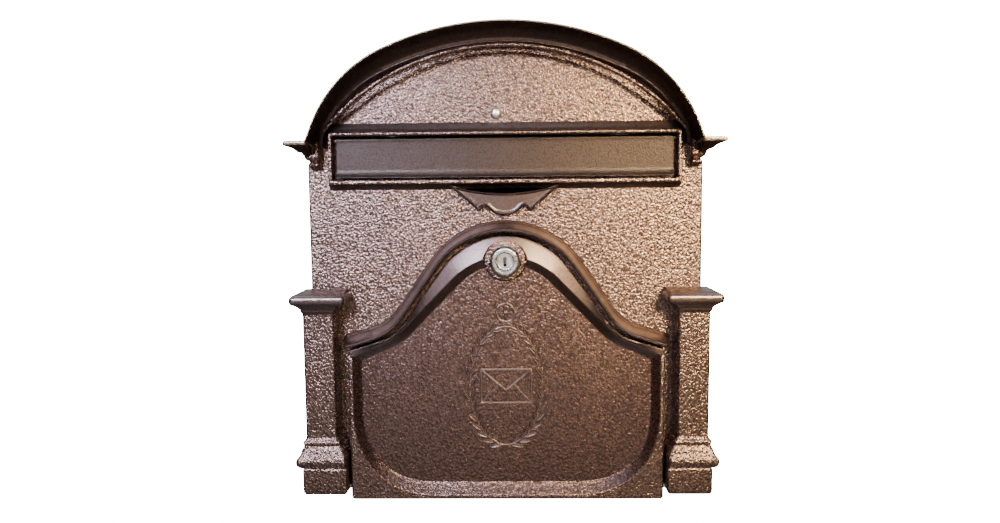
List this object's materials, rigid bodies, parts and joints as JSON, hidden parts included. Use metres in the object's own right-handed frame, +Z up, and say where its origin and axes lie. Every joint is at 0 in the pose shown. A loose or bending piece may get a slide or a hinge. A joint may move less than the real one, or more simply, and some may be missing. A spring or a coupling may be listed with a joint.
{
  "type": "wall mounted mailbox",
  "caption": "Wall mounted mailbox with a cast arched front, a lift-up letter flap and a lockable drop-down door.",
  "frame": {"origin": "middle of the four wall holes, on the wall plane", "axes": "+X to the right as seen from the street, +Y into the wall, +Z up; the front faces -Y"},
  "size_m": [0.385, 0.137, 0.4273],
  "materials": {
    "copper_casting": "cast aluminium with a hammered antique copper powder coat, semi-gloss",
    "copper_flap": "cast aluminium with a hammered antique copper powder coat, semi-gloss",
    "copper_door": "cast aluminium with a hammered antique copper powder coat, semi-gloss",
    "dark_sheet": "zinc-plated sheet steel with a dark brown powder coat",
    "bright_steel": "zinc-plated steel",
    "lock_chrome": "polished chrome plate"
  },
  "bodies": {
    "case": {"front_panel": "copper_casting", "roof_cornice": "copper_casting", "cornice_bead": "copper_casting", "slot_frame": "copper_casting", "slot_apron": "copper_casting", "door_hood": "copper_casting", "left_pilaster": "copper_casting", "right_pilaster": "copper_casting", "back_panel": "dark_sheet", "case_wrap": "dark_sheet", "case_floor": "dark_sheet", "dome_bolt": "lock_chrome", "dome_bolt_nut": "bright_steel", "case_screws": "bright_steel", "back_rivets": "bright_steel", "floor_rivets": "bright_steel", "flap_rod": "bright_steel", "door_pins": "bright_steel"},
    "flap": {"slot_flap": "copper_flap"},
    "door": {"door_panel": "copper_door", "door_emblem": "copper_door", "lock_body": "lock_chrome", "lock_nut": "bright_steel"},
    "lock": {"lock_plug": "lock_chrome", "lock_cam": "bright_steel", "cam_screw": "bright_steel"}
  },
  "joints": [
    {"name": "flap_hinge", "type": "hinge", "parent": "case", "child": "flap", "pos_m": [0, -0.1045, 0.116], "axis": [-1, 0, 0], "range_deg": [0, 80]},
    {"name": "door_hinge", "type": "hinge", "parent": "case", "child": "door", "pos_m": [0, -0.1175, -0.201], "axis": [1, 0, 0], "range_deg": [0, 95]},
    {"name": "lock_turn", "type": "hinge", "parent": "door", "child": "lock", "pos_m": [0, -0.1305, 0.007], "axis": [0, 1, 0], "range_deg": [0, 90]}
  ]
}
